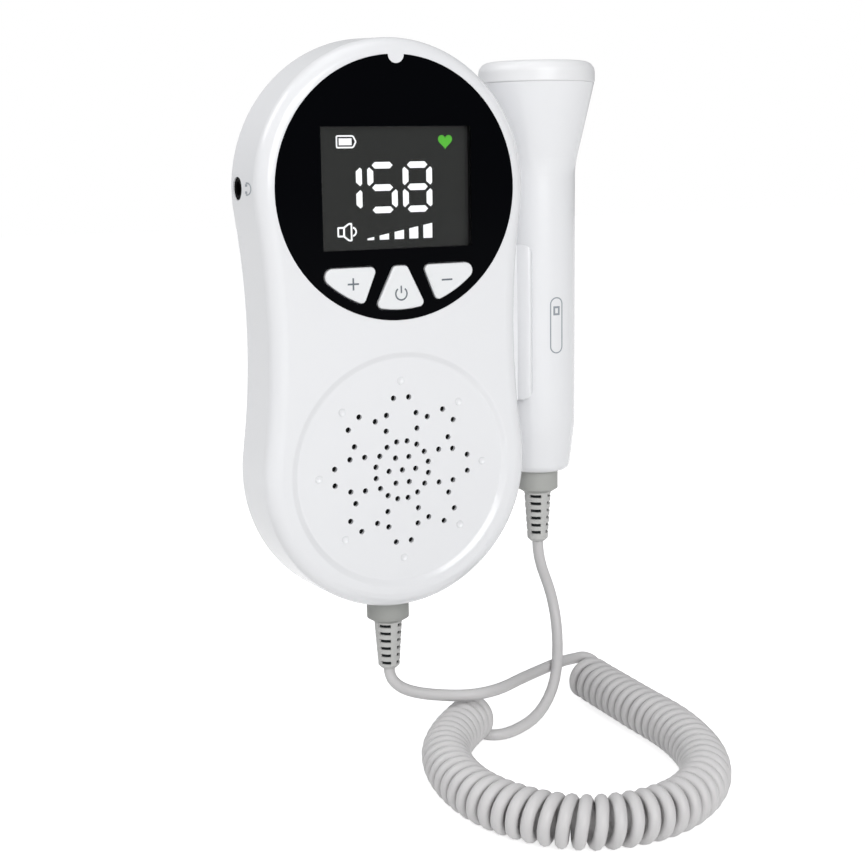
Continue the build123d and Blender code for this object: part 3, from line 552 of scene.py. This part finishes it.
class MONITOR_OT_display(Operator):
    """Lay the display window and its lit marks on the lens"""
    bl_idname = "monitor.display"
    bl_label = "Display"

    def execute(self, context):
        sizes = chosen_sizes(context)
        colours = context.scene.monitor_colours
        cell = moulded_material("display_cell", colours.window, 0.30, drift=0.0, bump=0.0, specular=0.05, glow=0.6)
        lit = moulded_material("lit_segment", colours.lit, 0.30, drift=0.0, spread=0.0, bump=0.0, glow=0.4)
        green = moulded_material("lit_heart", colours.heart, 0.30, drift=0.0, spread=0.0, bump=0.0, glow=0.3)
        half = sizes.window_width / 2
        low = sizes.window_rise - sizes.window_height / 2
        cell_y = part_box("lcd_panel")[0].y
        pane = bmesh.new()
        patch(pane, box_points(-half, low, half, low + sizes.window_height))
        thicken(pane, sizes.print_lift, cell_y)
        new_piece("display_pane", pane, cell, "unit")
        on_pane = cell_y - sizes.print_lift * MM

        digits = bmesh.new()
        for sign, x in DIGITS:
            digit(digits, sign, x, DIGITS_RISE, sizes)
        thicken(digits, sizes.print_lift, on_pane)
        new_piece("display_digits", digits, lit, "unit")

        signs = bmesh.new()
        hollow(signs, rounded_patch(signs, BATTERY_OUTLINE, radius=0.45), BATTERY_STROKE)
        patch(signs, box_points(*BATTERY_CHARGE))
        hollow(signs, rounded_patch(signs, box_points(*SPEAKER_BOX), radius=0.3), SIGN_STROKE)
        hollow(signs, rounded_patch(signs, SPEAKER_HORN, radius=0.35), SIGN_STROKE)
        arc_band(signs, SOUND_WAVE, SOUND_RADIUS, SIGN_STROKE, start=-80, sweep=160)
        first_x = VOLUME_BARS[0][0]
        for low_x, high_x in VOLUME_BARS:
            low_top, high_top = (VOLUME_TOP + VOLUME_SLOPE * (x - first_x) for x in (low_x, high_x))
            patch(signs, ((low_x, VOLUME_FOOT), (high_x, VOLUME_FOOT), (high_x, high_top), (low_x, low_top)))
        thicken(signs, sizes.print_lift, on_pane)
        new_piece("display_signs", signs, lit, "unit")

        heart = bmesh.new()
        outline = []
        corners = 48
        for step in range(corners):
            turn = 2 * math.pi * step / corners
            wide = 16 * math.sin(turn) ** 3
            tall = 13 * math.cos(turn) - 5 * math.cos(2 * turn) - 2 * math.cos(3 * turn) - math.cos(4 * turn)
            outline.append((HEART_X - HEART_SCALE * wide, HEART_Z + HEART_SCALE * tall))
        patch(heart, outline)
        thicken(heart, sizes.print_lift, on_pane)
        new_piece("display_heart", heart, green, "unit")
        return {"FINISHED"}


class MONITOR_OT_key_signs(Operator):
    """Print the three symbols on the keys"""
    bl_idname = "monitor.key_signs"
    bl_label = "Key Symbols"

    def execute(self, context):
        lift = chosen_sizes(context).print_lift
        ink = moulded_material("key_print", context.scene.monitor_colours.print_grey, 0.45, bump=0.0)
        half, reach = SIGN_HALF_STROKE, SIGN_REACH
        plus = bmesh.new()
        x, z = PLUS_X, PLUS_Z
        patch(plus, ((x - reach, z - half), (x - half, z - half), (x - half, z - reach), (x + half, z - reach),
                     (x + half, z - half), (x + reach, z - half), (x + reach, z + half), (x + half, z + half),
                     (x + half, z + reach), (x - half, z + reach), (x - half, z + half), (x - reach, z + half)))
        minus = bmesh.new()
        patch(minus, box_points(MINUS_X - reach, MINUS_Z - half, MINUS_X + reach, MINUS_Z + half))
        power = bmesh.new()
        arc_band(power, (0.0, POWER_Z), POWER_RADIUS, POWER_STROKE, start=128, sweep=284)
        half = POWER_STROKE / 2
        patch(power, box_points(-half, POWER_Z + POWER_BAR_LOW, half, POWER_Z + POWER_BAR_HIGH))
        for body, bm in (("plus_key", plus), ("minus_key", minus), ("power_key", power)):
            thicken(bm, lift, KEY_Y)
            new_piece(body.replace("key", "sign"), bm, ink, body)
        return {"FINISHED"}


class MONITOR_OT_housing_prints(Operator):
    """Print the headphone mark on the side wall and the pill outline on the probe"""
    bl_idname = "monitor.housing_prints"
    bl_label = "Housing Prints"

    def execute(self, context):
        lift = chosen_sizes(context).print_lift
        ink = moulded_material("housing_print", context.scene.monitor_colours.mark_grey, 0.45, bump=0.0)
        mark = bmesh.new()
        band, band_stroke, stretch = 1.5, 0.3, 1.75
        arc_band(mark, (0.0, 0.0), band, band_stroke, start=90, sweep=180, steps=16)
        for vert in mark.verts:
            vert.co.x *= stretch
        arm, arm_half, arm_end = 1.48, 0.18, 0.6
        pad, pad_half, pad_start, pad_end = 0.88, 0.30, -0.2, 1.0
        for side in (-1, 1):
            patch(mark, box_points(0.0, side * arm - arm_half, arm_end, side * arm + arm_half))
            patch(mark, box_points(pad_start, side * pad - pad_half, pad_end, side * pad + pad_half))
        bmesh.ops.subdivide_edges(mark, edges=mark.edges, cuts=2, use_grid_fill=True)
        thicken(mark, lift, 0.0)
        depth, rise, stand_off = 7.55 * MM, 0.78 * MM, 0.01 * MM
        wall_radius = -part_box("front_shell")[0].x
        draft = math.tan(WALL_DRAFT)
        widest_y = FACE_Y + WIDEST_DEPTH * MM
        for vert in mark.verts:
            y = FACE_Y + depth + vert.co.x
            radius = wall_radius - (widest_y - y) * draft - vert.co.y + stand_off
            turn = (rise + vert.co.z) / wall_radius
            vert.co = (-radius * math.cos(turn), y, radius * math.sin(turn))
        mark.normal_update()
        new_piece("headphone_mark", mark, ink, "unit")

        pill = bmesh.new()
        half, low, high, stroke = 2.0, -46.2, -30.6, 0.34
        hollow(pill, rounded_patch(pill, box_points(-half, low, half, high), half * 0.98, steps=12), stroke)
        half, low, high, stroke = 1.0, -35.6, -33.1, 0.55
        hollow(pill, patch(pill, box_points(-half, low, half, high)), stroke)
        bmesh.ops.subdivide_edges(pill, edges=pill.edges, cuts=2, use_grid_fill=True)
        thicken(pill, lift, 0.0)
        shaft, stand_off = SHAFT_RADIUS * MM, 0.005 * MM
        for vert in pill.verts:
            turn = vert.co.x / shaft
            radius = shaft - vert.co.y + stand_off
            vert.co = (PROBE_X + radius * math.sin(turn), PROBE_Y - radius * math.cos(turn), vert.co.z)
        pill.normal_update()
        new_piece("probe_print", pill, ink, "probe")
        return {"FINISHED"}


class MONITOR_OT_dimples(Operator):
    """Hollow out a bowl in each of the eight dimples round the speaker holes"""
    bl_idname = "monitor.dimples"
    bl_label = "Dimples"

    def execute(self, context):
        sizes = chosen_sizes(context)
        rim, bowl_depth = sizes.dimple, sizes.dimple_hollow
        ball = (rim ** 2 + bowl_depth ** 2) / (2 * bowl_depth)
        spread = math.asin(rim / ball)
        steps = 5
        profile = []
        for step in range(steps + 1):
            lean = spread * step / steps
            profile.append((ball * math.sin(lean), DISH_FLOOR + bowl_depth - ball * (1.0 - math.cos(lean))))
        profile += [(rim, DIMPLE_FLOOR), (0.0, DIMPLE_FLOOR)]
        bowls = bmesh.new()
        for turn in range(0, 360, 45):
            x = DIMPLE_RING * math.sin(math.radians(turn))
            z = DISH_RISE + DIMPLE_RING * math.cos(math.radians(turn))
            line = [bowls.verts.new(((x + reach) * MM, depth * MM, z * MM)) for reach, depth in profile]
            rungs = [bowls.edges.new(pair) for pair in zip(line, line[1:])]
            bmesh.ops.spin(bowls, geom=line + rungs, cent=(x * MM, 0.0, z * MM), axis=(0.0, 1.0, 0.0),
                           angle=2 * math.pi, steps=28, use_merge=True)
        bmesh.ops.remove_doubles(bowls, verts=bowls.verts, dist=1e-7)
        finish = part_materials(context.scene.monitor_colours)["housing"]
        new_piece("dish_dimples", bowls, finish, "unit", crease=30.0)
        return {"FINISHED"}


class MONITOR_OT_boot_slot_shade(Operator):
    """Line the slotted boots of both strain reliefs with a dark sleeve of painted shade, seen through the slots"""
    bl_idname = "monitor.boot_cores"
    bl_label = "Boot Slot Shade"

    def execute(self, context):
        sizes = chosen_sizes(context)
        # Near-black sleeve: painted shade inside the slots.
        dark = moulded_material("painted_slot_shade", (0.008, 0.010, 0.011), 0.6, specular=0.15)
        for name, body, (x, y, foot), boot in (("unit_slot_shade", "unit", UNIT_LEAD[0], UNIT_BOOT_LENGTH),
                                               ("probe_slot_shade", "probe", PROBE_LEAD[0], PROBE_BOOT_LENGTH)):
            sleeve = bmesh.new()
            rise = boot - sizes.shade_sleeve_floor
            bmesh.ops.create_cone(sleeve, cap_ends=True, segments=32, radius1=sizes.shade_sleeve_end * MM,
                                  radius2=sizes.shade_sleeve_top * MM, depth=rise * MM)
            middle = foot + sizes.shade_sleeve_floor + rise / 2
            bmesh.ops.translate(sleeve, verts=sleeve.verts, vec=(x * MM, y * MM, middle * MM))
            new_piece(name, sleeve, dark, body, crease=30.0)
        return {"FINISHED"}


def route_curve(name, points, resolution=4):
    """Open NURBS curve object with the given control points, in metres."""
    data = bpy.data.curves.new(name, "CURVE")
    data.dimensions = "3D"
    spline = data.splines.new("NURBS")
    spline.points.add(len(points) - 1)
    for point, place in zip(spline.points, points):
        point.co = (*place, 1.0)
    spline.order_u = 3
    spline.use_endpoint_u = True
    spline.resolution_u = resolution
    route = bpy.data.objects.new(name, data)
    bpy.context.scene.collection.objects.link(route)
    return route


def read_line(route):
    """Points along a route's curve, in order."""
    bpy.context.view_layer.update()
    mesh = bpy.data.meshes.new_from_object(route.evaluated_get(bpy.context.evaluated_depsgraph_get()))
    line = [v.co.copy() for v in mesh.vertices]
    bpy.data.meshes.remove(mesh)
    return line


def spaced_frames(line, count):
    """Evenly spaced places along a line, each with its direction."""
    reach = [0.0]
    for before, after in zip(line, line[1:]):
        reach.append(reach[-1] + (after - before).length)
    frames = []
    at = 0
    for step in range(count):
        goal = reach[-1] * step / (count - 1)
        while at < len(line) - 2 and reach[at + 1] < goal:
            at += 1
        run = reach[at + 1] - reach[at]
        share = (goal - reach[at]) / run if run > 0 else 0.0
        frames.append((line[at].lerp(line[at + 1], share), (line[at + 1] - line[at]).normalized()))
    return frames


def winding(share, sizes):
    """How tightly the turns lie at a share of the coil's length."""
    loose_share = 0.04
    loose = sizes.loose_end * math.exp(-(share / loose_share) ** 2)
    return 1.0 + sizes.crowding * math.cos(2 * math.pi * share) - loose


class MONITOR_OT_cord(Operator):
    """Wind the curly cord from the unit's relief round its coil to the probe's relief"""
    bl_idname = "monitor.cord"
    bl_label = "Curly Cord"

    def execute(self, context):
        sizes = chosen_sizes(context)
        wire = sizes.wire * MM
        per_turn = 14
        middle_radius = (sizes.coil - sizes.wire) / 2 * MM / math.cos(math.pi / per_turn)
        guide = route_curve("coil_guide", [Vector(p) * MM for p in COIL_LINE], resolution=32)
        turns = sizes.turns + 0.5
        count = int(turns * per_turn) + 1
        helix = []
        wound = [0.0]
        for step in range(1, count):
            wound.append(wound[-1] + winding((step - 0.5) / (count - 1), sizes))
        for reach, (centre, along) in zip(wound, spaced_frames(read_line(guide), count)):
            turn = -2 * math.pi * turns * reach / wound[-1]
            up = Vector((0.0, 0.0, 1.0))
            side = along.cross(up).normalized()
            helix.append(centre + middle_radius * (math.cos(turn) * up + math.sin(turn) * side))
        bpy.data.objects.remove(guide)
        points = [Vector(p) * MM for p in UNIT_LEAD] + helix + [Vector(p) * MM for p in reversed(PROBE_LEAD)]
        route = route_curve("cord_route", points)
        path = read_line(route)
        route.data.bevel_depth = wire / 2
        route.data.bevel_resolution = 3
        route.data.use_fill_caps = True
        bpy.context.view_layer.update()
        mesh = bpy.data.meshes.new_from_object(route.evaluated_get(context.evaluated_depsgraph_get()))
        bpy.data.objects.remove(route)
        mesh.name = "curly_cord"
        mesh.shade_smooth()
        mesh.materials.clear()
        mesh.materials.append(part_materials(context.scene.monitor_colours)["cord"])
        cord = bpy.data.objects.new("curly_cord", mesh)
        context.scene.collection.objects.link(cord)
        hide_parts("cord_unit_lead", "cord_coil", "cord_probe_lead")
        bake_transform(cord)
        return {"FINISHED"}


# ---- Stage ----

FLOOR_GAP, FLOOR_SHADE, FLOOR_GLOW = 0.2 * MM, 0.80, 0.72

# Light that reaches the object from the surroundings, and how white its gloss mirrors them.
LIGHT_LEVEL, LIGHT_OVERHEAD = 0.19, 0.34
GLOSS_LEVEL, GLOSS_TO_RIGHT = 0.72, -0.42

# Name, place in metres, width in metres and power in watts of each soft box.
LIGHT_TARGET = (0.02, -0.02, -0.03)
LIGHTS = (
    ("key_light", (-0.13, -1.02, 0.31), 0.6, 6.4),
    ("left_light", (-0.85, 0.25, 0.75), 0.6, 3.7),
    ("top_light", (-0.10, -0.15, 0.95), 0.7, 1.6))

CAMERA_PLACE = (-0.16453, -0.37903, 0.00791)
CAMERA_LENS = 62.13
CAMERA_YAW, CAMERA_PITCH, CAMERA_ROLL = math.radians(26.45), math.radians(-10.46), math.radians(-0.90)


def soft_box(name, place, size, power):
    """Square area light aimed at the object."""
    data = bpy.data.lights.new(name, "AREA")
    data.shape = "SQUARE"
    data.size = size
    data.energy = power
    lamp = bpy.data.objects.new(name, data)
    lamp.location = place
    lamp.rotation_euler = (Vector(LIGHT_TARGET) - Vector(place)).to_track_quat("-Z", "Y").to_euler()
    bpy.context.scene.collection.objects.link(lamp)


def floor_material():
    """Pale matt floor that shows plain white to the camera and keeps the object's shadow."""
    material = bpy.data.materials.new("stage_floor")
    material.use_nodes = True
    tree = material.node_tree
    shader = tree.nodes["Principled BSDF"]
    shader.inputs["Base Color"].default_value = (FLOOR_SHADE, FLOOR_SHADE, FLOOR_SHADE, 1.0)
    shader.inputs["Roughness"].default_value = 0.9
    shader.inputs["Specular IOR Level"].default_value = 0.1
    rays = tree.nodes.new("ShaderNodeLightPath").outputs
    seen = math_node(tree, "MAXIMUM", rays["Is Camera Ray"], rays["Is Glossy Ray"])
    shader.inputs["Emission Color"].default_value = (1.0, 1.0, 1.0, 1.0)
    tree.links.new(math_node(tree, "MULTIPLY", seen, FLOOR_GLOW), shader.inputs["Emission Strength"])
    return material


def studio_world():
    """White to the camera, brighter overhead and below for the object, brighter on the left in its gloss."""
    world = bpy.data.worlds.new("studio")
    world.use_nodes = True
    tree = world.node_tree
    nodes, links = tree.nodes, tree.links
    nodes.clear()
    rays = nodes.new("ShaderNodeLightPath").outputs
    seen = math_node(tree, "MAXIMUM", rays["Is Camera Ray"], rays["Is Transmission Ray"])
    toward = nodes.new("ShaderNodeTexCoord")
    parts = nodes.new("ShaderNodeSeparateXYZ")
    links.new(toward.outputs["Generated"], parts.inputs[0])
    height = math_node(tree, "MULTIPLY", parts.outputs["Z"], parts.outputs["Z"])
    level = math_node(tree, "MULTIPLY_ADD", height, LIGHT_OVERHEAD, LIGHT_LEVEL)
    gloss = math_node(tree, "MULTIPLY_ADD", parts.outputs["X"], GLOSS_TO_RIGHT, GLOSS_LEVEL)
    strength = nodes.new("ShaderNodeMix")
    links.new(rays["Is Glossy Ray"], strength.inputs["Factor"])
    links.new(level, strength.inputs["A"])
    links.new(gloss, strength.inputs["B"])
    around = nodes.new("ShaderNodeBackground")
    around.inputs["Color"].default_value = (0.97, 0.98, 1.0, 1.0)
    links.new(strength.outputs["Result"], around.inputs["Strength"])
    white = nodes.new("ShaderNodeBackground")
    white.inputs["Color"].default_value = (1.0, 1.0, 1.0, 1.0)
    mix = nodes.new("ShaderNodeMixShader")
    links.new(seen, mix.inputs[0])
    links.new(around.outputs[0], mix.inputs[1])
    links.new(white.outputs[0], mix.inputs[2])
    links.new(mix.outputs[0], nodes.new("ShaderNodeOutputWorld").inputs["Surface"])
    return world


def fitted_camera():
    """Camera at the fitted place, turned by its yaw, pitch and roll."""
    data = bpy.data.cameras.new("camera")
    data.sensor_width = 36.0
    data.lens = CAMERA_LENS
    data.clip_start = 0.01
    data.clip_end = 20.0
    yaw, pitch, roll = CAMERA_YAW, CAMERA_PITCH, CAMERA_ROLL
    ahead = Vector((math.sin(yaw) * math.cos(pitch), math.cos(yaw) * math.cos(pitch), math.sin(pitch)))
    right = Vector((math.cos(yaw), -math.sin(yaw), 0.0))
    up = right.cross(ahead)
    level = math.cos(roll) * right + math.sin(roll) * up
    upright = -math.sin(roll) * right + math.cos(roll) * up
    turned = Matrix((level, upright, -ahead)).transposed()
    camera = bpy.data.objects.new("camera", data)
    camera.matrix_world = Matrix.Translation(CAMERA_PLACE) @ turned.to_4x4()
    return camera


class MONITOR_OT_stage(Operator):
    """Set the pale floor, soft lights, white surroundings and camera"""
    bl_idname = "monitor.stage"
    bl_label = "Stage"

    def execute(self, context):
        scene = context.scene
        scene.view_settings.view_transform = "Standard"
        sheet = bmesh.new()
        bmesh.ops.create_grid(sheet, x_segments=1, y_segments=1, size=3.0)
        bmesh.ops.translate(sheet, verts=sheet.verts, vec=(0.0, 0.0, FLOOR_Z - FLOOR_GAP))
        mesh = bpy.data.meshes.new("floor")
        sheet.to_mesh(mesh)
        sheet.free()
        mesh.materials.append(floor_material())
        floor = bpy.data.objects.new("floor", mesh)
        scene.collection.objects.link(floor)
        scene.world = studio_world()
        for light in LIGHTS:
            soft_box(*light)
        camera = fitted_camera()
        scene.collection.objects.link(camera)
        scene.camera = camera
        return {"FINISHED"}


class MONITOR_PT_panel(Panel):
    """Sidebar panel that lists the steps and settings"""
    bl_label = "Monitor"
    bl_idname = "MONITOR_PT_panel"
    bl_space_type = "VIEW_3D"
    bl_region_type = "UI"
    bl_category = "Monitor"

    def draw(self, context):
        layout = self.layout
        for operator in OPERATORS:
            layout.operator(operator.bl_idname)
        for settings in (context.scene.monitor_sizes, context.scene.monitor_colours):
            box = layout.box()
            for name in settings.__annotations__:
                box.prop(settings, name)


OPERATORS = (
    MONITOR_OT_stage, MONITOR_OT_cord, MONITOR_OT_finishes, MONITOR_OT_lens, MONITOR_OT_holder,
    MONITOR_OT_display, MONITOR_OT_key_signs, MONITOR_OT_housing_prints, MONITOR_OT_dimples,
    MONITOR_OT_boot_slot_shade)
CLASSES = (MonitorColours, MonitorSizes, *OPERATORS, MONITOR_PT_panel)


def register():
    """Add the settings, the operators and the panel to Blender."""
    for entry in CLASSES:
        bpy.utils.register_class(entry)
    bpy.types.Scene.monitor_colours = PointerProperty(type=MonitorColours)
    bpy.types.Scene.monitor_sizes = PointerProperty(type=MonitorSizes)


def unregister():
    """Take them out again."""
    del bpy.types.Scene.monitor_sizes
    del bpy.types.Scene.monitor_colours
    for entry in reversed(CLASSES):
        bpy.utils.unregister_class(entry)


def main():
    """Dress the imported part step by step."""
    register()
    bpy.ops.monitor.stage()
    bpy.ops.monitor.cord()
    bpy.ops.monitor.finishes()
    bpy.ops.monitor.lens()
    bpy.ops.monitor.holder()
    bpy.ops.monitor.display()
    bpy.ops.monitor.key_signs()
    bpy.ops.monitor.housing_prints()
    bpy.ops.monitor.dimples()
    bpy.ops.monitor.boot_cores()


if __name__ == "__main__":
    main()
